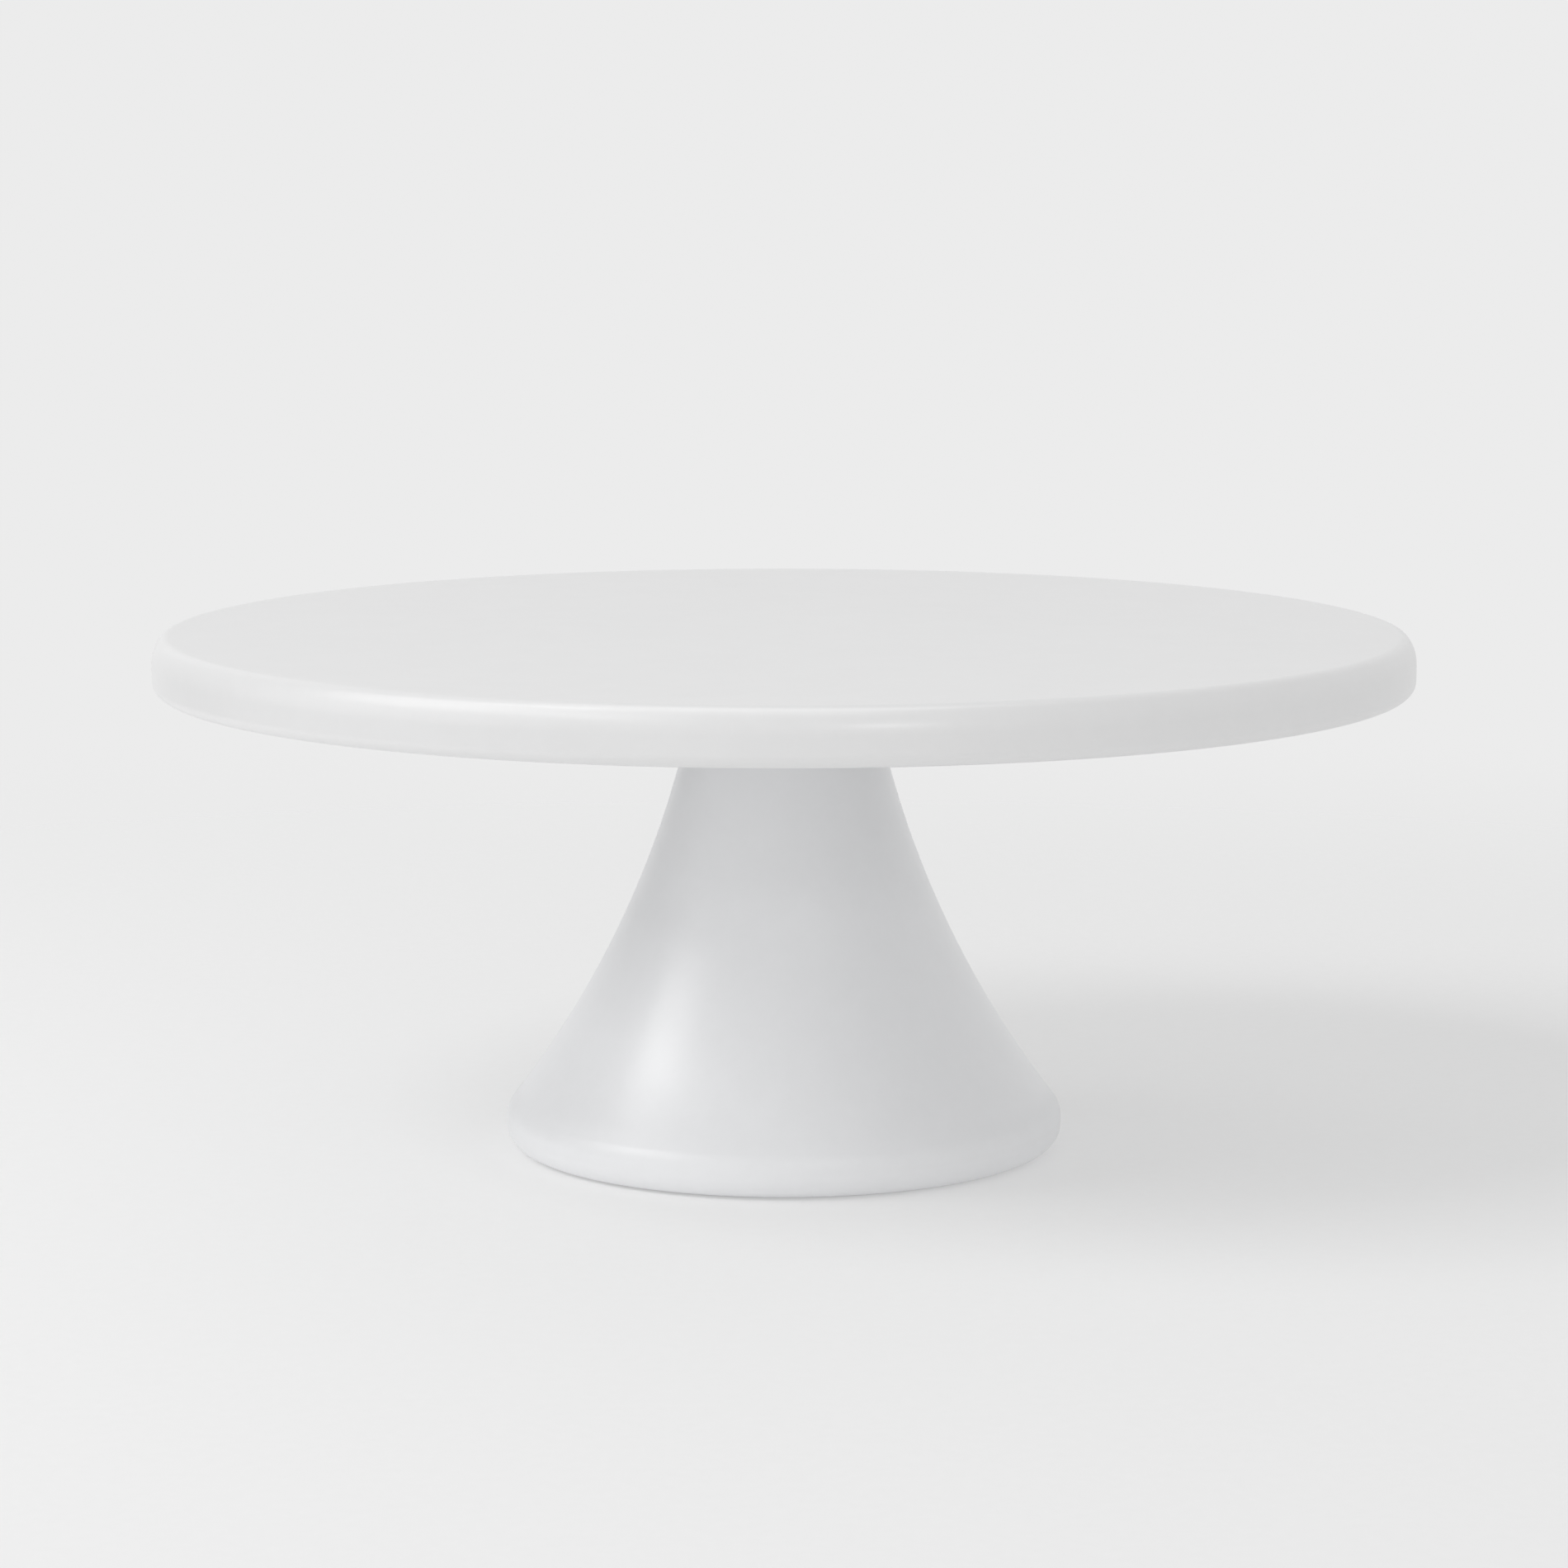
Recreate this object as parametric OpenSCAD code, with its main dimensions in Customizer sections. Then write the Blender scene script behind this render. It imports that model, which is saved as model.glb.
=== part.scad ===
// Cake stand: a flat round plate with a turned-down rim on a flared pedestal.
// Both are thin coated steel, and one stud and a wing nut inside the pedestal hold them together.
// Millimetres, +Z up. The origin is on the table, on the stand's axis.

/* [Plate] */
// Diameter of the plate
plate_d = 305; // [280:1:340]
// Height of the plate's top above the table
stand_h = 127; // [115:1:150]
// Height of the plate's rim
rim_h = 13.5; // [12:0.5:16]
// Thickness of the plate's sheet
plate_t = 1.2; // [1:0.1:1.6]
// Tight radius where the flat top turns into the edge
edge_top_r = 3; // [2.5:0.1:3.5]
// Wide radius that carries the edge on into the rim's side
edge_side_r = 9; // [8:0.5:10]
// Width of the rounded edge, seen from above
edge_w = 4.1; // [3.9:0.1:4.5]
// Radius at the bottom of the rim
rim_bottom_r = 3.1; // [2.5:0.1:3.5]
// Width of the lip that the rim turns in under itself
rim_lip_w = 5; // [3:0.5:8]

/* [Pedestal] */
// Radius of the pedestal's top end
neck_r = 20.5; // [19:0.5:24]
// Radius of the long hollow curve of the flare
flare_r = 237; // [200:1:400]
// Radius of the foot at its widest
foot_r = 68; // [66:0.5:80]
// Radius of the foot's shoulder, where the flare turns down
shoulder_r = 6.5; // [5:0.5:7]
// Height of the foot's widest point
foot_wide_z = 7.2; // [6.5:0.1:9]
// Radius of the foot's bottom edge
foot_bottom_r = 5.3; // [4:0.1:5.5]
// Thickness of the pedestal's wall
wall_t = 1.2; // [1:0.1:1.6]
// Radius round the pedestal's top end
neck_edge_r = 2; // [1.9:0.1:3]
// Inner radius of the flange that the foot turns in to
foot_flange_r = 52; // [46:1:54]

/* [Non-slip ring] */
// Thickness of the ring
ring_t = 1; // [0.8:0.1:1.4]
// How far the ring stands below the foot
ring_proud = 0.3; // [0.3:0.1:0.6]
// Outer radius of the ring
ring_r = 61.5; // [60:0.5:61.5]
// Width of the ring
ring_w = 8.5; // [5:0.5:8.5]

/* [Under the plate] */
// Thickness of the stiffening dish
dish_t = 1; // [0.8:0.1:1.5]
// Radius of the dish
dish_r = 95; // [80:1:125]
// Width of the dish's outer flange, which is welded to the plate
dish_flange_w = 12; // [8:1:14]
// How far the dish's middle stands off the plate
dish_depth = 3; // [2.8:0.1:3.5]
// Radius of the bead pressed round the dish's middle
bead_r = 54; // [45:1:56]
// Radius of the hub plate
hub_r = 30; // [29:0.5:36]
// Thickness of the hub plate
hub_t = 3; // [2.5:0.1:3.5]
// Radius of the ring of rivets
rivet_ring_r = 25.5; // [25:0.5:26]
// Thickness of the neck gasket
gasket_t = 1.3; // [1:0.1:1.5]

/* [Clamp] */
// Length of thread that shows below the wing nut
spare_thread = 4.6; // [3:0.2:8]
// Thickness of the backing disc in the neck
backing_t = 2.5; // [2:0.1:3]
// Radius of the backing disc
backing_r = 17.5; // [14:0.5:17.5]

/* [Hidden] */
$fn = 180;

coat = [0.95, 0.95, 0.95];
zinc = [0.72, 0.73, 0.75];
silicone = [0.86, 0.87, 0.88];

// M6 hardware, to its standards
pitch = 1;
stud_r = 3;
nut_bore_r = stud_r + 0.05;
stud_hole_r = 3.3;
stud_head_r = 9;
stud_head_t = 2.2;
stud_chamfer = 0.8;
thread_depth = 0.45;
thread_len = 20;
washer_r = 9;
washer_hole_r = 3.2;
washer_t = 1.6;
spring_r = 5.9;
spring_hole_r = 3.1;
spring_t = 1.6;
spring_split = 1.2;
nut_h = 8;
nut_face_r = 6.5;
nut_tip_r = 5;
wing_t = 2.5;
wing_tip_r = 4.2;
wing_tip = [12.3, 12.8];
rivet_count = 4;
rivet_r = 2;
rivet_head_r = 3.5;
rivet_head_t = 1.2;
rivet_head_edge = 0.8;

// Heights, from the plate downwards
plate_r = plate_d / 2;
plate_z = stand_h - plate_t;
rim_z = stand_h - rim_h;
dish_z = plate_z - dish_depth;
hub_z = dish_z - dish_t - hub_t;
neck_z = hub_z - gasket_t;
backing_z = neck_z - wall_t - backing_t;
washer_z = backing_z - washer_t;
spring_z = washer_z - spring_t;
stud_end_z = spring_z - nut_h - spare_thread;

function arc(centre, r, from, to, steps) = [
  for (i = [0:steps])
    let (a = from + (to - from) * i / steps)
    centre + r * [cos(a), sin(a)]
];
function angle_of(v) = atan2(v[1], v[0]);
// Where a circle of radius r1 round p1 meets one of radius r2 round p2, on the outer side
function meet(p1, r1, p2, r2) =
  let (
    d = norm(p2 - p1),
    u = (p2 - p1) / d,
    along = (r1 * r1 - r2 * r2 + d * d) / (2 * d),
    across = sqrt(r1 * r1 - along * along)
  )
  p1 + along * u + across * [-u[1], u[0]];

// The plate's edge: a tight arc, then a wide one that touches it and the rim's side
edge_top = [plate_r - edge_w, stand_h - edge_top_r];
edge_gap = edge_side_r - edge_top_r;
edge_drop = sqrt(edge_gap * edge_gap - pow(edge_side_r - edge_w, 2));
edge_side = [plate_r - edge_side_r, edge_top[1] - edge_drop];
edge_angle = angle_of(edge_top - edge_side);
rim_bottom = [plate_r - rim_bottom_r, rim_z + rim_bottom_r];

// The pedestal's flare: one arc through the neck that touches the foot's shoulder
shoulder = [foot_r - shoulder_r, foot_wide_z];
flare = meet([neck_r, neck_z], flare_r, shoulder, flare_r + shoulder_r);
neck_edge_z = neck_z - neck_edge_r;
neck_edge = [
  flare[0] - sqrt(pow(flare_r + neck_edge_r, 2) - pow(flare[1] - neck_edge_z, 2)),
  neck_edge_z
];
neck_angle = angle_of(flare - neck_edge);
shoulder_angle = angle_of(flare - shoulder);
foot_bottom = [foot_r - foot_bottom_r, ring_proud + foot_bottom_r];

// One face of the plate's sheet, inset from the outer face, from the middle out to the rim's bottom
function plate_face(inset) = concat(
  [[0, stand_h - inset]],
  arc(edge_top, edge_top_r - inset, 90, edge_angle, 8),
  arc(edge_side, edge_side_r - inset, edge_angle, 0, 8),
  arc(rim_bottom, rim_bottom_r - inset, 0, -90, 8)
);

// One face of the pedestal's wall, inset from the outer face, from the top hole to the foot's bottom
function pedestal_face(inset) = concat(
  [[stud_hole_r, neck_z - inset]],
  arc(neck_edge, neck_edge_r - inset, 90, neck_angle, 6),
  arc(flare, flare_r + inset, 180 + neck_angle, 180 + shoulder_angle, 32),
  arc(shoulder, shoulder_r - inset, shoulder_angle, 0, 8),
  arc(foot_bottom, foot_bottom_r - inset, 0, -90, 10)
);

function reversed(list) = [for (i = [len(list) - 1:-1:0]) list[i]];

module disc(z, t, r, hole_r) {
  translate([0, 0, z])
    difference() {
      cylinder(r = r, h = t);
      translate([0, 0, -1]) cylinder(r = hole_r, h = t + 2);
    }
}

module rivet_places() {
  for (i = [0.5:rivet_count - 0.5])
    rotate(i * 360 / rivet_count)
      translate([rivet_ring_r, 0, 0])
        children();
}

// Pressed pan: flat top, rounded edge, rim, and a lip turned in under it
module plate_pan() {
  lip_r = rim_bottom[0] - rim_lip_w;
  color(coat)
    rotate_extrude()
      polygon(concat(
        plate_face(0),
        [[lip_r, rim_z], [lip_r, rim_z + plate_t]],
        reversed(plate_face(plate_t))
      ));
}

// Shallow dish welded under the pan by its outer flange, which keeps the thin top flat
module stiffener_dish() {
  flange_r = dish_r - dish_flange_w;
  slope_w = 2 * (dish_depth - dish_t);
  bead_w = 6;
  bead_h = 1.2;
  upper = [
    [stud_r, dish_z],
    [bead_r - bead_w, dish_z], [bead_r - bead_w / 2, dish_z + bead_h],
    [bead_r + bead_w / 2, dish_z + bead_h], [bead_r + bead_w, dish_z],
    [flange_r - slope_w, dish_z], [flange_r, plate_z], [dish_r, plate_z]
  ];
  color(coat)
    difference() {
      rotate_extrude()
        polygon(concat(upper, reversed([for (p = upper) p - [0, dish_t]])));
      rivet_places() translate([0, 0, hub_z]) cylinder(r = rivet_r, h = hub_t + 2 * dish_depth);
    }
}

// Thick disc riveted under the dish, which the pedestal is clamped against
module hub_plate() {
  color(zinc)
    difference() {
      disc(hub_z, hub_t, hub_r, stud_r);
      rivet_places() translate([0, 0, hub_z - 1]) cylinder(r = rivet_r, h = hub_t + 2);
    }
}

// Rivets through the dish and the hub plate, closed on both sides
module hub_rivets() {
  grip = hub_t + dish_t;
  head = [
    [rivet_r, 0], [rivet_head_r, 0], [rivet_head_r, rivet_head_t - rivet_head_edge],
    [rivet_head_r - rivet_head_edge, rivet_head_t], [0, rivet_head_t]
  ];
  color(zinc)
    rivet_places()
      translate([0, 0, hub_z])
        rotate_extrude()
          polygon(concat(
            reversed([for (p = head) [p[0], -p[1]]]),
            [for (p = head) p + [0, grip]]
          ));
}

// Weld stud: a flat head on the dish and an M6 thread, shown as rings, down into the neck
module clamp_stud() {
  turns = floor((thread_len - stud_chamfer) / pitch);
  root_r = stud_r - thread_depth;
  ring = [[stud_r, 0], [stud_r, 0.3 * pitch], [root_r, 0.65 * pitch]];
  thread = [
    for (i = [0:turns - 1], p = ring)
      p + [0, stud_end_z + stud_chamfer + i * pitch]
  ];
  head_edge = 0.5;
  color(zinc)
    rotate_extrude()
      polygon(concat(
        [[0, stud_end_z], [stud_r - stud_chamfer, stud_end_z]],
        thread,
        [
          [stud_r, stud_end_z + thread_len], [stud_r, dish_z], [stud_head_r, dish_z],
          [stud_head_r, dish_z + stud_head_t - head_edge],
          [stud_head_r - 2 * head_edge, dish_z + stud_head_t], [0, dish_z + stud_head_t]
        ]
      ));
}

// Soft washer between the hub plate and the coated top of the pedestal
module neck_gasket() {
  color(silicone) disc(neck_z, gasket_t, neck_edge[0], stud_hole_r + 1);
}

// Spun cone: closed top, hollow flare, rounded foot, and a flange turned in with a step for the ring
module pedestal_shell() {
  step_w = 0.4;
  outer_r = foot_bottom[0] - step_w;
  flange_r = outer_r - (ring_t - ring_proud);
  color(coat)
    rotate_extrude()
      polygon(concat(
        pedestal_face(0),
        [
          [outer_r, ring_proud], [flange_r, ring_t],
          [foot_flange_r, ring_t], [foot_flange_r, ring_t + wall_t],
          [flange_r - step_w, ring_t + wall_t]
        ],
        reversed(pedestal_face(wall_t))
      ));
}

// Steel disc inside the neck that spreads the nut's pull
module backing_disc() {
  color(zinc) disc(backing_z, backing_t, backing_r, stud_hole_r);
}

// Large M6 washer
module flat_washer() {
  color(zinc) disc(washer_z, washer_t, washer_r, washer_hole_r);
}

// Split M6 spring washer, shown closed
module spring_washer() {
  split_lean = 20;
  color(zinc)
    difference() {
      disc(spring_z, spring_t, spring_r, spring_hole_r);
      translate([spring_r / 2, 0, spring_z + spring_t / 2])
        rotate([split_lean, 0, 0])
          cube([spring_r + 1, spring_split, 3 * spring_t], center = true);
    }
}

// One wing, standing in the XZ plane, with its tip pointing away from the nut's seat
module wing() {
  root_r = nut_bore_r + 1;
  top_z = -1.2;
  bottom_z = 1 - nut_h;
  rotate([90, 0, 0])
    translate([0, 0, -wing_t / 2])
      linear_extrude(wing_t)
        polygon(concat(
          [[root_r, bottom_z], [root_r, top_z], [nut_face_r + 0.6, top_z]],
          arc([wing_tip[0], -wing_tip[1]], wing_tip_r, 40, -150, 12),
          [[nut_tip_r + 1.2, bottom_z]]
        ));
}

// M6 wing nut, seat up and wings down, where fingers reach it inside the pedestal
module wing_nut() {
  color(zinc)
    translate([0, 0, spring_z])
      difference() {
        union() {
          translate([0, 0, -nut_h]) cylinder(r1 = nut_tip_r, r2 = nut_face_r, h = nut_h);
          wing();
          rotate(180) wing();
        }
        translate([0, 0, -nut_h - 1]) cylinder(r = nut_bore_r, h = nut_h + 2);
      }
}

// Flat silicone ring bonded under the foot's flange, which the stand rests on
module non_slip_ring() {
  color(silicone) disc(0, ring_t, ring_r, ring_r - ring_w);
}

plate_pan();
stiffener_dish();
hub_plate();
hub_rivets();
clamp_stud();
neck_gasket();
pedestal_shell();
backing_disc();
flat_washer();
spring_washer();
wing_nut();
non_slip_ring();
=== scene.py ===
"""Cake stand: the looks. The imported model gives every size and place, and this script gives the surfaces.

Outlines are in millimetres, as (radius, height) round the stand's axis, and become metres in build().
"""
from math import atan2, cos, degrees, exp, hypot, pi, radians, sin, sqrt

import bmesh
import bpy
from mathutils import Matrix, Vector

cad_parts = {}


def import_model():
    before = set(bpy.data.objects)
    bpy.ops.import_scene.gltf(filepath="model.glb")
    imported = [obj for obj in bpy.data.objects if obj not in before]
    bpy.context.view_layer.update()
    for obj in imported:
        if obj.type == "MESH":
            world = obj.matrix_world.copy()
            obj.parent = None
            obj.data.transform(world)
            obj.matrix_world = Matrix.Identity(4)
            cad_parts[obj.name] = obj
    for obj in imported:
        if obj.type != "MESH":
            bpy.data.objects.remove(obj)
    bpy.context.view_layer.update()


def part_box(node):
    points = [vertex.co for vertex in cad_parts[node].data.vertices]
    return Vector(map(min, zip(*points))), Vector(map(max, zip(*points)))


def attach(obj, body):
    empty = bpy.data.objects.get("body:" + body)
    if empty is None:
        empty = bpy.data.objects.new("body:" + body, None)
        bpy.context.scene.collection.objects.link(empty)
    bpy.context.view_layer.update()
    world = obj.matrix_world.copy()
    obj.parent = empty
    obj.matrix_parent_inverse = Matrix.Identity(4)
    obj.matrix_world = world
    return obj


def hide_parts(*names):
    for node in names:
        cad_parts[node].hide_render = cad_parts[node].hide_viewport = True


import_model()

MM = 0.001
SEGMENTS = 256
SMALL_SEGMENTS = 96
SHARP_ANGLE = radians(38)

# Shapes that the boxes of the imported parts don't give, in millimetres
PLATE_T = 1.2
EDGE_TOP_R = 3
EDGE_SIDE_R = 9
EDGE_W = 4.1
RIM_BOTTOM_R = 3.1
RIM_LIP_W = 5
WALL_T = 1.2
FLARE_R = 237
NECK_R = 20.5
NECK_EDGE_R = 2
SHOULDER_R = 6.5
FOOT_WIDE_Z = 7.2
FOOT_BOTTOM_R = 5.3
FLANGE_R = 52
STEP_W = 0.4
STUD_HOLE_R = 3.3
STUD_R = 3
STUD_HEAD_T = 2.2
PITCH = 1
THREAD_LEN = 20
THREAD_DEPTH = 0.55
THREAD_HALF_W = 0.42  # in pitches
STUD_CHAMFER = 0.8
RIVET_R = 2
RIVET_HEAD_R = 3.5
RIVET_HEAD_T = 1.2
RIVET_COUNT = 4
RIVET_RING_R = 25.5
DISH_T = 1
DISH_FLANGE_W = 12
DISH_BEAD_R = 54
DISH_RING_GAP = 0.9
WELD_COUNT = 16
GASKET_HOLE_R = STUD_HOLE_R + 1
GASKET_BULGE = 0.35
WASHER_HOLE_R = 3.2
RING_HOLE_R = 53
NUT_H = 8
NUT_BORE_R = 3.05
NUT_TIP_R = 5
NUT_FACE_R = 6.5
WING_T = 2.5
WING_TIP_R = 4.2
SPRING_WIRE_W = 2.8
SPRING_SPLIT = 1.2
SPLIT_LEAN = radians(20)


# Outlines

def box_of(node):
    """(outer radius, lowest height, highest height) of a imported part, in millimetres."""
    low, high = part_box(node)
    return high.x / MM, low.z / MM, high.z / MM


def arc(centre, radius, start, end, steps):
    """Points on a circle, from one angle in degrees to another."""
    points = []
    for i in range(steps + 1):
        a = radians(start + (end - start) * i / steps)
        points.append((centre[0] + radius * cos(a), centre[1] + radius * sin(a)))
    return points


def angle_of(v):
    return degrees(atan2(v[1], v[0]))


def meet(p1, r1, p2, r2):
    """Where a circle round p1 meets one round p2, on the outer side."""
    dx, dy = p2[0] - p1[0], p2[1] - p1[1]
    d = hypot(dx, dy)
    along = (r1 * r1 - r2 * r2 + d * d) / (2 * d)
    across = sqrt(r1 * r1 - along * along)
    return (p1[0] + (along * dx - across * dy) / d, p1[1] + (along * dy + across * dx) / d)


def rounded(corners, radius, steps=4):
    """A closed outline with each corner rounded off; radius is one number, or one for each corner."""
    points = []
    count = len(corners)
    radii = radius if isinstance(radius, list) else [radius] * count
    for i, (corner, r) in enumerate(zip(corners, radii)):
        c = Vector(corner)
        before = (Vector(corners[i - 1]) - c).normalized()
        after = (Vector(corners[(i + 1) % count]) - c).normalized()
        if r == 0:
            points.append(tuple(c))
            continue
        half = before.angle(after) / 2
        reach = r / abs(sin(half)) * cos(half)
        start, end = c + before * reach, c + after * reach
        for k in range(steps + 1):
            t = k / steps
            points.append(tuple(start * (1 - t) ** 2 + c * 2 * t * (1 - t) + end * t * t))
    return points


# Meshes

def build(name, vertices, faces, body, node, materials):
    """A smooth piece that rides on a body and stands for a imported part."""
    mesh = bpy.data.meshes.new(name)
    mesh.from_pydata([(x * MM, y * MM, z * MM) for x, y, z in vertices], [], faces)
    work = bmesh.new()
    work.from_mesh(mesh)
    bmesh.ops.remove_doubles(work, verts=work.verts, dist=1e-7)
    bmesh.ops.recalc_face_normals(work, faces=work.faces)
    work.to_mesh(mesh)
    work.free()
    mesh.shade_smooth()
    mesh.set_sharp_from_angle(angle=SHARP_ANGLE)
    for material in materials:
        mesh.materials.append(material)
    piece = bpy.data.objects.new(name, mesh)
    bpy.context.scene.collection.objects.link(piece)
    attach(piece, body)
    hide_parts(node)
    return piece


def lathe_data(outline, segments, closed, bend=None):
    """Vertices and faces of an outline turned round the axis. bend moves a point, given (r, z, angle)."""
    vertices = []
    for r, z in outline:
        for k in range(segments):
            a = 2 * pi * k / segments
            rr, zz = bend(r, z, a) if bend else (r, z)
            vertices.append((rr * cos(a), rr * sin(a), zz))
    rows = len(outline)
    faces = []
    for i in range(rows if closed else rows - 1):
        j = (i + 1) % rows
        for k in range(segments):
            m = (k + 1) % segments
            faces.append((i * segments + k, i * segments + m, j * segments + m, j * segments + k))
    return vertices, faces


def lathe(name, outline, body, node, materials, segments=SEGMENTS, closed=True, bend=None):
    """A piece made by turning an outline round the axis."""
    vertices, faces = lathe_data(outline, segments, closed, bend)
    return build(name, vertices, faces, body, node, materials)


def paint_inside(piece, is_inside):
    """Gives the second material to the faces on the hidden side."""
    for face in piece.data.polygons:
        if is_inside(face.center / MM, face.normal):
            face.material_index = 1


# Materials

def new_material(name):
    material = bpy.data.materials.new(name)
    material.use_nodes = True
    tree = material.node_tree
    shader = tree.nodes["Principled BSDF"]
    place = tree.nodes.new("ShaderNodeTexCoord").outputs["Object"]
    return material, tree, shader, place


def noise(tree, place, scale, detail=3.0, roughness=0.5):
    """A noise texture over the object, scale in features per metre."""
    node = tree.nodes.new("ShaderNodeTexNoise")
    node.inputs["Scale"].default_value = scale
    node.inputs["Detail"].default_value = detail
    node.inputs["Roughness"].default_value = roughness
    tree.links.new(place, node.inputs["Vector"])
    return node.outputs["Fac"]


def ramp(tree, value, low, high, stops=(0.3, 0.7)):
    """Turns a value into a colour between two colours, or into a grey between two numbers."""
    node = tree.nodes.new("ShaderNodeValToRGB")
    for element, stop, colour in zip(node.color_ramp.elements, stops, (low, high)):
        element.position = stop
        element.color = (*colour, 1) if isinstance(colour, tuple) else (colour, colour, colour, 1)
    tree.links.new(value, node.inputs["Fac"])
    return node.outputs["Color"]


def maths(tree, operation, a, b):
    node = tree.nodes.new("ShaderNodeMath")
    node.operation = operation
    for socket, value in zip(node.inputs, (a, b)):
        if isinstance(value, (int, float)):
            socket.default_value = value
        else:
            tree.links.new(value, socket)
    return node.outputs["Value"]


def mix(tree, factor, a, b, blend="MIX"):
    node = tree.nodes.new("ShaderNodeMix")
    node.data_type = "RGBA"
    node.blend_type = blend
    for name, value in (("Factor_Float", factor), ("A_Color", a), ("B_Color", b)):
        socket = next(s for s in node.inputs if s.identifier == name)
        if isinstance(value, tuple):
            socket.default_value = (*value, 1)
        elif isinstance(value, (int, float)):
            socket.default_value = value
        else:
            tree.links.new(value, socket)
    return next(s for s in node.outputs if s.identifier == "Result_Color")


def bump(tree, shader, layers):
    """Stacks bump layers, each (height, strength, distance in metres)."""
    below = None
    for height, strength, distance in layers:
        node = tree.nodes.new("ShaderNodeBump")
        node.inputs["Strength"].default_value = strength
        node.inputs["Distance"].default_value = distance
        tree.links.new(height, node.inputs["Height"])
        if below:
            tree.links.new(below, node.inputs["Normal"])
        below = node.outputs["Normal"]
    tree.links.new(below, shader.inputs["Normal"])


def specks(tree, place, per_metre, share, size):
    """1 on sparse round specks and 0 elsewhere.

    share is the part of the cells that hold a speck, and size the widest a speck gets, in cells.
    """
    cells = tree.nodes.new("ShaderNodeTexVoronoi")
    cells.inputs["Scale"].default_value = per_metre
    tree.links.new(place, cells.inputs["Vector"])
    split = tree.nodes.new("ShaderNodeSeparateColor")
    tree.links.new(cells.outputs["Color"], split.inputs["Color"])
    chosen = maths(tree, "GREATER_THAN", split.outputs["Red"], 1 - share)
    reach = maths(tree, "MULTIPLY", split.outputs["Green"], size)
    near = maths(tree, "LESS_THAN", cells.outputs["Distance"], reach)
    return maths(tree, "MULTIPLY", chosen, near)


# Both tints are the same white coat. The plate's is set darker and the pedestal's lighter to match how
# light falls on each, so the difference between them is painted shade on the plate and painted light on the
# pedestal.
PLATE_TINT = (0.815, 0.815, 0.817)
PEDESTAL_TINT = (0.866, 0.871, 0.883)
DULL_EDGE = (0.015, 0.0115)  # metres
DULL_BY = 0.16


def powder_coat(name, tint, dull_edge=None):
    """Satin white powder coat: near-white with a faint cloudiness, fine orange peel, and a few dust specks.

    dull_edge is the height where the coat starts to be duller, and where it is fully so. The pedestal has
    one because the photo's highlight is faint over the foot's shoulder.
    """
    material, tree, shader, place = new_material(name)
    dim = tuple(0.98 * c for c in tint)
    cloud = ramp(tree, noise(tree, place, 140, 6, 0.75), dim, tint)
    dust = specks(tree, place, 95, 0.08, 0.030)
    colour = mix(tree, maths(tree, "MULTIPLY", dust, 0.5), cloud, (0.36, 0.35, 0.34))
    tree.links.new(colour, shader.inputs["Base Color"])
    satin = ramp(tree, noise(tree, place, 50, 3), 0.285, 0.31)
    if dull_edge:
        split = tree.nodes.new("ShaderNodeSeparateXYZ")
        tree.links.new(place, split.inputs["Vector"])
        dull = tree.nodes.new("ShaderNodeMapRange")
        dull.interpolation_type = "SMOOTHSTEP"
        dull.inputs["From Min"].default_value, dull.inputs["From Max"].default_value = dull_edge
        dull.inputs["To Max"].default_value = DULL_BY
        tree.links.new(split.outputs["Z"], dull.inputs["Value"])
        satin = maths(tree, "ADD", satin, dull.outputs["Result"])
    tree.links.new(satin, shader.inputs["Roughness"])
    shader.inputs["IOR"].default_value = 2.0
    peel = noise(tree, place, 420, 1, 0.4)
    waves = noise(tree, place, 24, 1)
    bump(tree, shader, [(waves, 0.12, 0.0001), (peel, 0.04, 0.00003), (dust, 0.4, 0.0001)])
    return material


def thin_coat():
    """The same coat where the spray hardly reaches: rougher, and grey where the steel shows through."""
    material, tree, shader, place = new_material("coat_under")
    thin = noise(tree, place, 30, 5, 0.6)
    colour = ramp(tree, thin, (0.72, 0.73, 0.74), (0.85, 0.85, 0.85), (0.28, 0.46))
    grit = ramp(tree, noise(tree, place, 1500, 2), 0.93, 1.0)
    tree.links.new(mix(tree, 1.0, colour, grit, "MULTIPLY"), shader.inputs["Base Color"])
    tree.links.new(ramp(tree, thin, 0.62, 0.42), shader.inputs["Roughness"])
    bump(tree, shader, [(noise(tree, place, 1100, 3), 0.35, 0.00008)])
    return material


def zinc_plate():
    """Bright zinc on steel: a cloudy blue-grey, fine turning marks, and dull spots."""
    material, tree, shader, place = new_material("zinc_steel")
    shader.inputs["Metallic"].default_value = 1.0
    cloud = noise(tree, place, 160, 4, 0.6)
    colour = ramp(tree, cloud, (0.56, 0.58, 0.60), (0.74, 0.74, 0.73))
    tint = ramp(tree, noise(tree, place, 90, 2), (0.96, 0.98, 1.0), (1.0, 0.985, 0.955))
    tree.links.new(mix(tree, 1.0, colour, tint, "MULTIPLY"), shader.inputs["Base Color"])
    tree.links.new(ramp(tree, noise(tree, place, 420, 5, 0.65), 0.24, 0.46), shader.inputs["Roughness"])
    rings = tree.nodes.new("ShaderNodeTexWave")
    rings.wave_type = "RINGS"
    rings.rings_direction = "Z"
    rings.inputs["Scale"].default_value = 700
    rings.inputs["Distortion"].default_value = 1.5
    rings.inputs["Detail"].default_value = 2
    tree.links.new(place, rings.inputs["Vector"])
    pits = noise(tree, place, 2400, 3)
    bump(tree, shader, [(rings.outputs["Fac"], 0.12, 0.00003), (pits, 0.25, 0.00003)])
    return material


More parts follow.
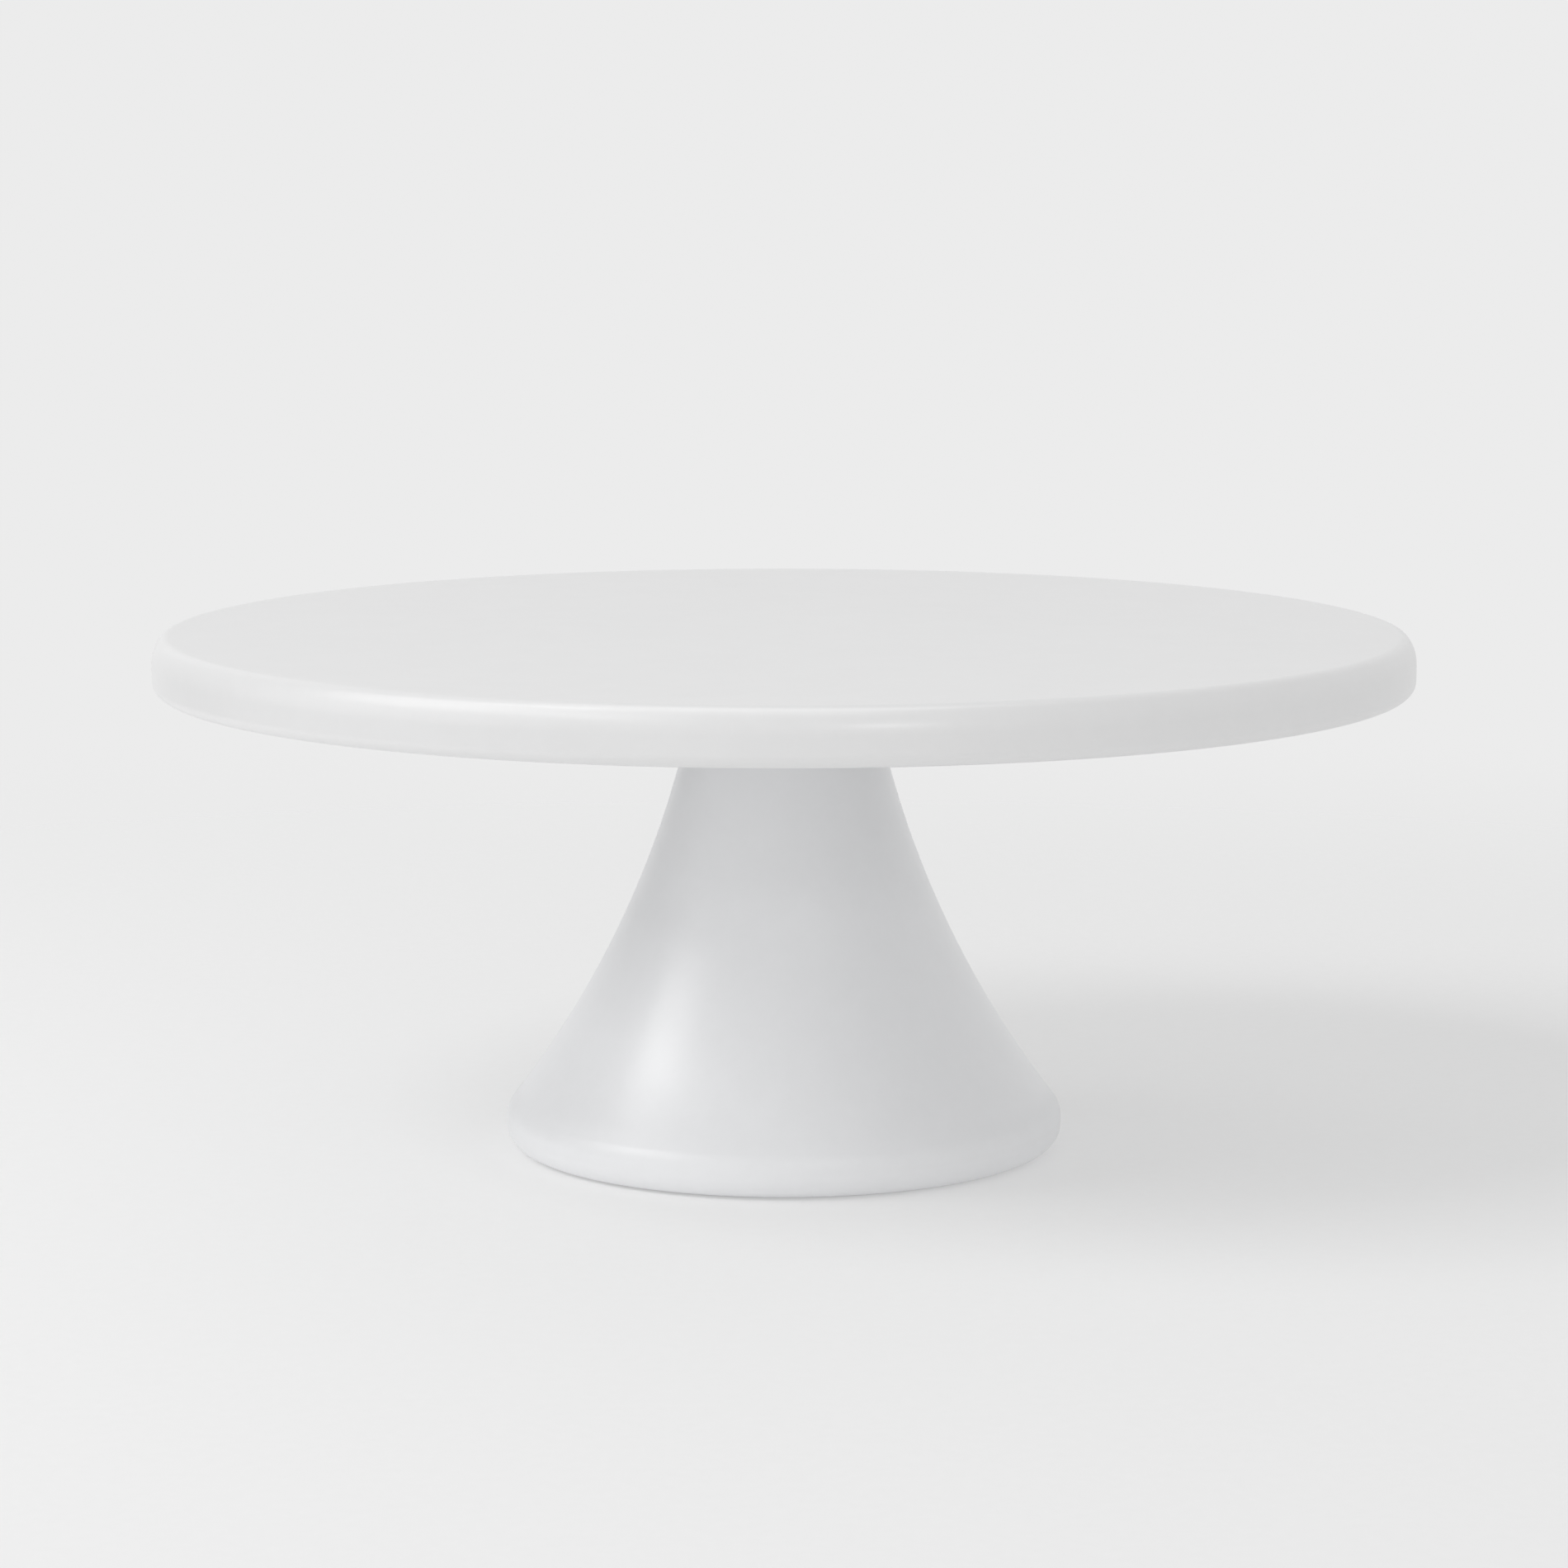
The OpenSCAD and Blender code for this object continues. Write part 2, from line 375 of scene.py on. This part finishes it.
def silicone():
    """Translucent grey silicone: soft, matt, with a faint bloom."""
    material, tree, shader, place = new_material("silicone")
    bloom = noise(tree, place, 130, 4, 0.6)
    tree.links.new(ramp(tree, bloom, (0.50, 0.51, 0.52), (0.60, 0.61, 0.62)), shader.inputs["Base Color"])
    tree.links.new(ramp(tree, bloom, 0.52, 0.68), shader.inputs["Roughness"])
    shader.inputs["Subsurface Weight"].default_value = 0.3
    shader.inputs["Subsurface Radius"].default_value = (0.0012, 0.0012, 0.0012)
    shader.inputs["Subsurface Scale"].default_value = 1.0
    bump(tree, shader, [(noise(tree, place, 2600, 2), 0.2, 0.00003)])
    return material


# Pieces

def plate(coat, coat_under):
    """Pressed pan: flat top, a tight arc and then a wide one round the edge, rim, and a lip under it."""
    radius, rim_z, top = box_of("plate_pan")
    tight = (radius - EDGE_W, top - EDGE_TOP_R)
    gap = EDGE_SIDE_R - EDGE_TOP_R
    drop = sqrt(gap * gap - (EDGE_SIDE_R - EDGE_W) ** 2)
    wide = (radius - EDGE_SIDE_R, tight[1] - drop)
    turn = angle_of((tight[0] - wide[0], drop))
    bottom = (radius - RIM_BOTTOM_R, rim_z + RIM_BOTTOM_R)

    def face(inset, rings):
        z = top - inset
        return (
            [(r, z) for r in rings]
            + arc(tight, EDGE_TOP_R - inset, 90, turn, 14)
            + arc(wide, EDGE_SIDE_R - inset, turn, 0, 18)[1:]
            + arc(bottom, RIM_BOTTOM_R - inset, 0, -90, 14)
        )

    rings = [0, 6, 14, 28, 45, 65, 85, 105, 122, 136, tight[0] - 2, tight[0] - 0.4]
    lip = radius - RIM_BOTTOM_R - RIM_LIP_W
    outline = (
        face(0, rings)
        + arc((lip, rim_z + PLATE_T / 2), PLATE_T / 2, -90, -270, 8)
        + face(PLATE_T, rings)[::-1]
    )
    piece = lathe("plate", outline, "stand", "plate_pan", [coat, coat_under], closed=False)
    under = top - PLATE_T / 2
    inner = radius - PLATE_T * 0.75

    def inside(c, n):
        behind_rim = rim_z + PLATE_T * 0.8 < c.z < under and hypot(c.x, c.y) < inner
        faces_down, faces_in = n.z < -0.5, n.x * c.x + n.y * c.y < 0
        return behind_rim and (faces_down or faces_in or c.z < rim_z + PLATE_T * 1.5)

    paint_inside(piece, inside)
    return piece


def pedestal(coat, coat_under):
    """Spun cone: closed top, hollow flare, rounded shoulder and foot, and a flange turned in under it."""
    radius, low, top = box_of("pedestal_shell")
    shoulder = (radius - SHOULDER_R, FOOT_WIDE_Z)
    flare = meet((NECK_R, top), FLARE_R, shoulder, FLARE_R + SHOULDER_R)
    edge_z = top - NECK_EDGE_R
    edge = (flare[0] - sqrt((FLARE_R + NECK_EDGE_R) ** 2 - (flare[1] - edge_z) ** 2), edge_z)
    neck_angle = angle_of((flare[0] - edge[0], flare[1] - edge[1]))
    shoulder_angle = angle_of((flare[0] - shoulder[0], flare[1] - shoulder[1]))
    bottom = (radius - FOOT_BOTTOM_R, low + FOOT_BOTTOM_R)

    def face(inset):
        return (
            [(STUD_HOLE_R, top - inset), (edge[0] - 1, top - inset)]
            + arc(edge, NECK_EDGE_R - inset, 90, neck_angle, 10)
            + arc(flare, FLARE_R + inset, 180 + neck_angle, 180 + shoulder_angle, 72)
            + arc(shoulder, SHOULDER_R - inset, shoulder_angle, 0, 22)[1:]
            + arc(bottom, FOOT_BOTTOM_R - inset, 0, -90, 22)
        )

    ring_top = box_of("non_slip_ring")[2]
    step = bottom[0] - STEP_W
    flange = step - (ring_top - low)
    outline = (
        face(0)
        + [(step, low), (flange, ring_top)]
        + arc((FLANGE_R + WALL_T / 2, ring_top + WALL_T / 2), WALL_T / 2, -90, -270, 8)
        + [(flange - STEP_W, ring_top + WALL_T)]
        + face(WALL_T)[::-1]
    )
    piece = lathe("pedestal", outline, "stand", "pedestal_shell", [coat, coat_under])

    def inside(c, n):
        outward = (n.x * c.x + n.y * c.y) / max(hypot(c.x, c.y), 1)
        on_flange = c.z < ring_top + WALL_T + 1 and n.z > 0.5
        on_ceiling = c.z > top - WALL_T - 0.1 and n.z < -0.5
        return c.z > ring_top + 0.1 and (outward < -0.2 or on_flange or on_ceiling)

    paint_inside(piece, inside)
    return piece


def dish(coat_under):
    """Shallow dish with a pressed bead, spot-welded to the plate round its outer flange."""
    radius, low, top = box_of("stiffener_dish")
    flange = radius - DISH_FLANGE_W
    slope_w = 2 * (top - low - 2 * DISH_T)
    upper = low + DISH_T
    bead_w, bead_h = 6, 1.2
    weld_r, weld_depth, weld_w = flange + DISH_FLANGE_W / 2, 0.3, 1.5

    def height(r):
        """Height of the dish's upper face at a radius."""
        off = abs(r - DISH_BEAD_R)
        bead = bead_h * max(0, cos(pi * off / (2 * bead_w))) ** 2 if off < bead_w else 0
        t = min(max((r - flange + slope_w) / slope_w, 0), 1)
        return upper + bead + (top - upper) * t * t * (3 - 2 * t)

    def spots(r, z, a):
        """Sinks a spot weld's dimple into the lower face."""
        if abs(r - weld_r) > 3 * weld_w or z > height(r) - DISH_T / 2:
            return r, z
        step = 2 * pi / WELD_COUNT
        off = (a + step / 2) % step - step / 2
        return r, z + weld_depth * exp(-(((r - weld_r) / weld_w) ** 2 + (off * r / weld_w) ** 2))

    count = int((radius - STUD_R) / DISH_RING_GAP)
    radii = [STUD_R + (radius - STUD_R) * i / count for i in range(count + 1)]
    rim_z = height(radius)
    eased_r = radius - 0.2
    edge = [(radius, rim_z - DISH_T * t) for t in (0.2, 0.5, 0.8)]
    # The upper face is hidden against the plate, so it has one ring in three
    outline = [(r, height(r)) for r in radii[:-1:3]] + [(eased_r, rim_z)] + edge
    outline += [(eased_r, rim_z - DISH_T)] + [(r, height(r) - DISH_T) for r in radii[-2::-1]]
    return lathe("dish", outline, "stand", "stiffener_dish", [coat_under], 512, bend=spots)


def turned_disc(name, node, material, hole_r, edge, body="stand", segments=SMALL_SEGMENTS, bulge=0):
    """A disc with a hole and eased edges. bulge is how far soft sides stand out at the middle."""
    radius, low, high = box_of(node)
    outer = radius - bulge
    corners = [(hole_r, low), (outer, low), (outer, high), (hole_r, high)]
    outline = rounded(corners, edge)
    half = (high - low) / 2
    mid = (high + low) / 2

    def swell(r, z):
        return r + bulge * (1 - ((z - mid) / half) ** 2) if r > outer - edge else r

    outline = [(swell(r, z), z) for r, z in outline]
    return lathe(name, outline, body, node, [material], segments)


def rivets(zinc):
    """Four rivets, with domed heads on both sides."""
    low, high = box_of("hub_rivets")[1:]
    dome = [(RIVET_HEAD_R * sin(a), RIVET_HEAD_T * cos(a)) for a in [pi / 2 * i / 10 for i in range(11)]]
    upper = [(r, high - RIVET_HEAD_T + z) for r, z in dome]
    lower = [(r, low + RIVET_HEAD_T - z) for r, z in dome[::-1]]
    outline = upper + [(RIVET_R, high - RIVET_HEAD_T), (RIVET_R, low + RIVET_HEAD_T)] + lower
    vertices, faces = [], []
    for i in range(RIVET_COUNT):
        a = 2 * pi * (i + 0.5) / RIVET_COUNT
        points, quads = lathe_data(outline, 48, False)
        start = len(vertices)
        vertices += [(x + RIVET_RING_R * cos(a), y + RIVET_RING_R * sin(a), z) for x, y, z in points]
        faces += [tuple(start + v for v in quad) for quad in quads]
    return build("rivets", vertices, faces, "stand", "hub_rivets", [zinc])


def stud(zinc):
    """Weld stud with a real helical thread on its lower end."""
    head_r, low, high = box_of("clamp_stud")
    head_z = high - STUD_HEAD_T
    thread_top = low + THREAD_LEN
    lead_in = 0.02

    def thread(r, z, a):
        if r < STUD_R or z < low + lead_in / 2 or z > thread_top:
            return r, z
        phase = (z / PITCH - a / (2 * pi)) % 1
        groove = THREAD_DEPTH * max(0, 1 - abs(phase - 0.5) / THREAD_HALF_W)
        fade = min(1, (thread_top - z) / PITCH)
        return min(r - groove * fade, STUD_R - STUD_CHAMFER + (z - low)), z

    steps = int(THREAD_LEN * 12)
    shank = [(STUD_R, low + lead_in + (THREAD_LEN - lead_in) * i / steps) for i in range(steps + 1)]
    head = rounded([(STUD_R, head_z), (head_r, head_z), (head_r, high), (0, high)], [0, 0.3, 0.8, 0])
    outline = [(0, low), (STUD_R - STUD_CHAMFER, low)] + shank + head
    return lathe("stud", outline, "stand", "clamp_stud", [zinc], 64, False, thread)


def spring_washer(zinc):
    """Split spring washer: a square wire bent round, with slanted ends."""
    radius, low, high = box_of("spring_washer")
    hole_r = radius - SPRING_WIRE_W
    section = rounded([(hole_r, low), (radius, low), (radius, high), (hole_r, high)], 0.22, 3)
    mid = (low + high) / 2
    steps = 120
    vertices, faces = [], []
    for i in range(steps + 1):
        for r, z in section:
            gap = (SPRING_SPLIT / 2) / r
            lean = (z - mid) * sin(SPLIT_LEAN) / cos(SPLIT_LEAN) / r
            a = gap + (2 * pi - 2 * gap) * i / steps - lean
            vertices.append((r * cos(a), r * sin(a), z))
    n = len(section)
    for i in range(steps):
        for k in range(n):
            m = (k + 1) % n
            faces.append((i * n + k, i * n + m, (i + 1) * n + m, (i + 1) * n + k))
    faces += [tuple(range(n)), tuple(range(steps * n, (steps + 1) * n))]
    return build("spring_washer", vertices, faces, "washers", "spring_washer", [zinc])


def wing_nut(zinc):
    """Cast wing nut: a tapered hub and two wings that hang from it, blended into one rounded casting."""
    low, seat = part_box("wing_nut")
    tip_x, seat_z = seat.x / MM, seat.z / MM
    tip_z = low.z / MM + WING_TIP_R
    hub_low = seat_z - NUT_H
    corners = [(NUT_BORE_R, hub_low), (NUT_TIP_R, hub_low), (NUT_FACE_R, seat_z), (NUT_BORE_R, seat_z)]
    hub = rounded(corners, 0.5)
    vertices, faces = lathe_data(hub, 64, True)
    centre = (tip_x - WING_TIP_R, tip_z)
    root = NUT_BORE_R + 0.8
    side = [(root, hub_low + 1), (root, seat_z - 1.2), (NUT_FACE_R + 0.6, seat_z - 1.2)]
    side += arc(centre, WING_TIP_R, 40, -150, 20) + [(NUT_TIP_R + 1.2, hub_low + 1)]
    for sign in (1, -1):
        start = len(vertices)
        for y in (-WING_T / 2, WING_T / 2):
            vertices += [(sign * x, y, z) for x, z in side]
        n = len(side)
        faces += [tuple(range(start, start + n)), tuple(range(start + n, start + 2 * n))]
        for k in range(n):
            m = (k + 1) % n
            faces.append((start + k, start + m, start + n + m, start + n + k))
    piece = build("wing_nut", vertices, faces, "nut", "wing_nut", [zinc])
    remesh = piece.modifiers.new("one casting", "REMESH")
    remesh.mode = "VOXEL"
    remesh.voxel_size = 0.22 * MM
    smooth = piece.modifiers.new("cast edges", "SMOOTH")
    smooth.iterations = 7
    smooth.factor = 0.5
    baked = bpy.data.meshes.new_from_object(piece.evaluated_get(bpy.context.evaluated_depsgraph_get()))
    piece.modifiers.clear()
    piece.data = baked
    baked.shade_smooth()
    return piece


# The stage

# Lengths in metres, and brightnesses

FLOOR_R = 4.0
FLOOR_DROP = 0.00005
FADE_FROM = 0.22
FADE_TO = 0.8
BACKDROP = 0.838
FLOOR_GLOW = 0.243


def floor():
    """A pale floor that fades into the backdrop, so that no horizon shows."""
    mesh = bpy.data.meshes.new("floor")
    work = bmesh.new()
    bmesh.ops.create_circle(work, cap_ends=True, radius=FLOOR_R, segments=128)
    work.to_mesh(mesh)
    work.free()
    disc = bpy.data.objects.new("floor", mesh)
    disc.location.z = -FLOOR_DROP
    bpy.context.scene.collection.objects.link(disc)
    material, tree, shader, place = new_material("paper")
    grain = ramp(tree, noise(tree, place, 300, 3), (0.695, 0.695, 0.695), (0.705, 0.705, 0.705))
    tree.links.new(grain, shader.inputs["Base Color"])
    shader.inputs["Roughness"].default_value = 0.9
    shader.inputs["Specular IOR Level"].default_value = 0.1
    shader.inputs["Emission Color"].default_value = (1, 1, 1, 1)
    shader.inputs["Emission Strength"].default_value = FLOOR_GLOW
    length = tree.nodes.new("ShaderNodeVectorMath")
    length.operation = "LENGTH"
    tree.links.new(place, length.inputs[0])
    fade = tree.nodes.new("ShaderNodeMapRange")
    fade.interpolation_type = "SMOOTHSTEP"
    fade.inputs["From Min"].default_value = FADE_FROM
    fade.inputs["From Max"].default_value = FADE_TO
    tree.links.new(length.outputs["Value"], fade.inputs["Value"])
    clear = tree.nodes.new("ShaderNodeBsdfTransparent")
    blend = tree.nodes.new("ShaderNodeMixShader")
    tree.links.new(fade.outputs["Result"], blend.inputs["Fac"])
    tree.links.new(shader.outputs["BSDF"], blend.inputs[1])
    tree.links.new(clear.outputs["BSDF"], blend.inputs[2])
    tree.links.new(blend.outputs["Shader"], tree.nodes["Material Output"].inputs["Surface"])
    mesh.materials.append(material)
    return disc


# The room's brightness in front, and how much is added to it towards each side
ROOM_FRONT = 0.8
ROOM_LEFT = -0.55
ROOM_RIGHT = -0.1
ROOM_TOP = -0.2


def world():
    """The room as even light.

    The camera sees only the backdrop. Reflections and bounced light see a room that is a little darker in
    front, and darker to the left, to the right and overhead.
    """
    sky = bpy.data.worlds.new("studio")
    sky.use_nodes = True
    bpy.context.scene.world = sky
    tree = sky.node_tree
    direction = tree.nodes.new("ShaderNodeTexCoord").outputs["Generated"]
    split = tree.nodes.new("ShaderNodeSeparateXYZ")
    tree.links.new(direction, split.inputs["Vector"])
    total = 0.0
    for name, axis, start, full, before, after in (
        ("depth", "Y", -0.2, 0.6, ROOM_FRONT, BACKDROP),
        ("left", "X", -0.3, -0.9, 0, ROOM_LEFT),
        ("right", "X", 0.3, 0.9, 0, ROOM_RIGHT),
        ("top", "Z", 0.2, 0.9, 0, ROOM_TOP),
    ):
        side = tree.nodes.new("ShaderNodeMapRange")
        side.name = name
        side.interpolation_type = "SMOOTHSTEP"
        side.inputs["From Min"].default_value = start
        side.inputs["From Max"].default_value = full
        side.inputs["To Min"].default_value = before
        side.inputs["To Max"].default_value = after
        tree.links.new(split.outputs[axis], side.inputs["Value"])
        total = maths(tree, "ADD", total, side.outputs["Result"])
    seen = tree.nodes.new("ShaderNodeLightPath").outputs["Is Camera Ray"]
    straight = maths(tree, "MULTIPLY", seen, BACKDROP)
    bounced = maths(tree, "MULTIPLY", maths(tree, "SUBTRACT", 1.0, seen), total)
    background = tree.nodes["Background"]
    background.inputs["Color"].default_value = (1, 1, 1, 1)
    tree.links.new(maths(tree, "ADD", straight, bounced), background.inputs["Strength"])


AIM_HEIGHT = 0.08


def softbox(name, azimuth, elevation, distance, size, power, lit, shines=True):
    """An area light that looks at the stand and lights only some objects, in degrees, metres and watts.

    Azimuth 0 is the near side and 90 the right. A lamp that doesn't shine is left out of reflections.
    """
    light = bpy.data.lights.new(name, "AREA")
    light.shape = "RECTANGLE"
    light.size, light.size_y = size
    light.energy = power
    lamp = bpy.data.objects.new(name, light)
    a, e = radians(azimuth), radians(elevation)
    away = Vector((sin(a) * cos(e), -cos(a) * cos(e), sin(e)))
    lamp.location = away * distance + Vector((0, 0, AIM_HEIGHT))
    lamp.rotation_mode = "QUATERNION"
    lamp.rotation_quaternion = away.to_track_quat("Z", "Y")
    lamp.visible_camera = False
    lamp.visible_glossy = shines
    lamp.light_linking.receiver_collection = lit
    bpy.context.scene.collection.objects.link(lamp)


def group(name, objects):
    """The objects that a lamp lights."""
    collection = bpy.data.collections.new(name)
    for item in objects:
        collection.objects.link(item)
    return collection


def lights(pieces, ground):
    """Soft light, mostly from the left. The plate, the pedestal and the floor each have lamps of their own.

    This is set up to look like the photo, and is not one real studio. The strengths here and the ROOM_
    values grew out of a least-squares fit to the photo, and were then changed.
    """
    plate_piece, *others = pieces
    on_stand = group("lit stand", pieces)
    on_plate = group("lit plate", [plate_piece])
    on_pedestal = group("lit pedestal", others)
    on_floor = group("lit floor", [ground])
    softbox("glint", 17.5, 21.5, 2.2, (0.12, 0.12), 1.0, on_stand)
    softbox("plate_wide", -48, 38, 1.8, (1.2, 0.4), 1.7, on_plate)
    softbox("plate_side", -80, 40, 1.75, (0.8, 0.8), 2.4, on_plate)
    softbox("plate_high", -60, 56, 1.8, (0.6, 0.3), 1.0, on_plate)
    softbox("plate_top", -20, 78, 2.0, (1.6, 1.6), 6.8, on_plate)
    softbox("plate_low", -74, 12, 1.8, (2.0, 0.9), 12.0, on_plate, shines=False)
    softbox("cone_low", -58, 8, 1.8, (1.7, 0.9), 5.6, on_pedestal, shines=False)
    softbox("cone_wide", -60, 30, 1.8, (1.2, 0.7), 2.2, on_pedestal)
    softbox("cone_side", -80, 30, 1.7, (0.35, 0.35), 1.3, on_pedestal)
    softbox("cone_strip", -66, 31, 1.7, (0.4, 0.4), 2.8, on_pedestal)
    softbox("floor_high", -60, 45, 2.0, (1.2, 0.9), 11.0, on_floor)
    softbox("floor_low", -85, 24, 1.7, (0.9, 0.6), 5.5, on_floor)


# The camera that matches the photo's outline: millimetres, degrees down, and metres back and up
LENS = 113.74
CAMERA_PITCH = 8.095
CAMERA_BACK = 1.196
CAMERA_UP = 0.259


def camera():
    data = bpy.data.cameras.new("camera")
    data.lens = LENS
    data.sensor_width = 36
    data.clip_start = 0.01
    view = bpy.data.objects.new("camera", data)
    view.location = (0, -CAMERA_BACK, CAMERA_UP)
    view.rotation_euler = (radians(90 - CAMERA_PITCH), 0, 0)
    bpy.context.scene.collection.objects.link(view)
    bpy.context.scene.camera = view


def stand():
    coat_under, zinc, rubber = thin_coat(), zinc_plate(), silicone()
    return [
        plate(powder_coat("coat_plate", PLATE_TINT), coat_under),
        pedestal(powder_coat("coat_pedestal", PEDESTAL_TINT, DULL_EDGE), coat_under),
        dish(coat_under),
        turned_disc("hub_disc", "hub_plate", zinc, STUD_R, 0.5, segments=128),
        rivets(zinc),
        stud(zinc),
        turned_disc(
            "gasket", "neck_gasket", rubber, GASKET_HOLE_R, 0.3, segments=128, bulge=GASKET_BULGE
        ),
        turned_disc("backing_disc", "backing_disc", zinc, STUD_HOLE_R, 0.4, segments=128),
        turned_disc("washer", "flat_washer", zinc, WASHER_HOLE_R, 0.3, body="washers"),
        spring_washer(zinc),
        wing_nut(zinc),
        turned_disc(
            "non_slip_ring", "non_slip_ring", rubber, RING_HOLE_R, 0.3, segments=SEGMENTS
        ),
    ]


bpy.context.scene.view_settings.view_transform = "Standard"
world()
lights(stand(), floor())
camera()
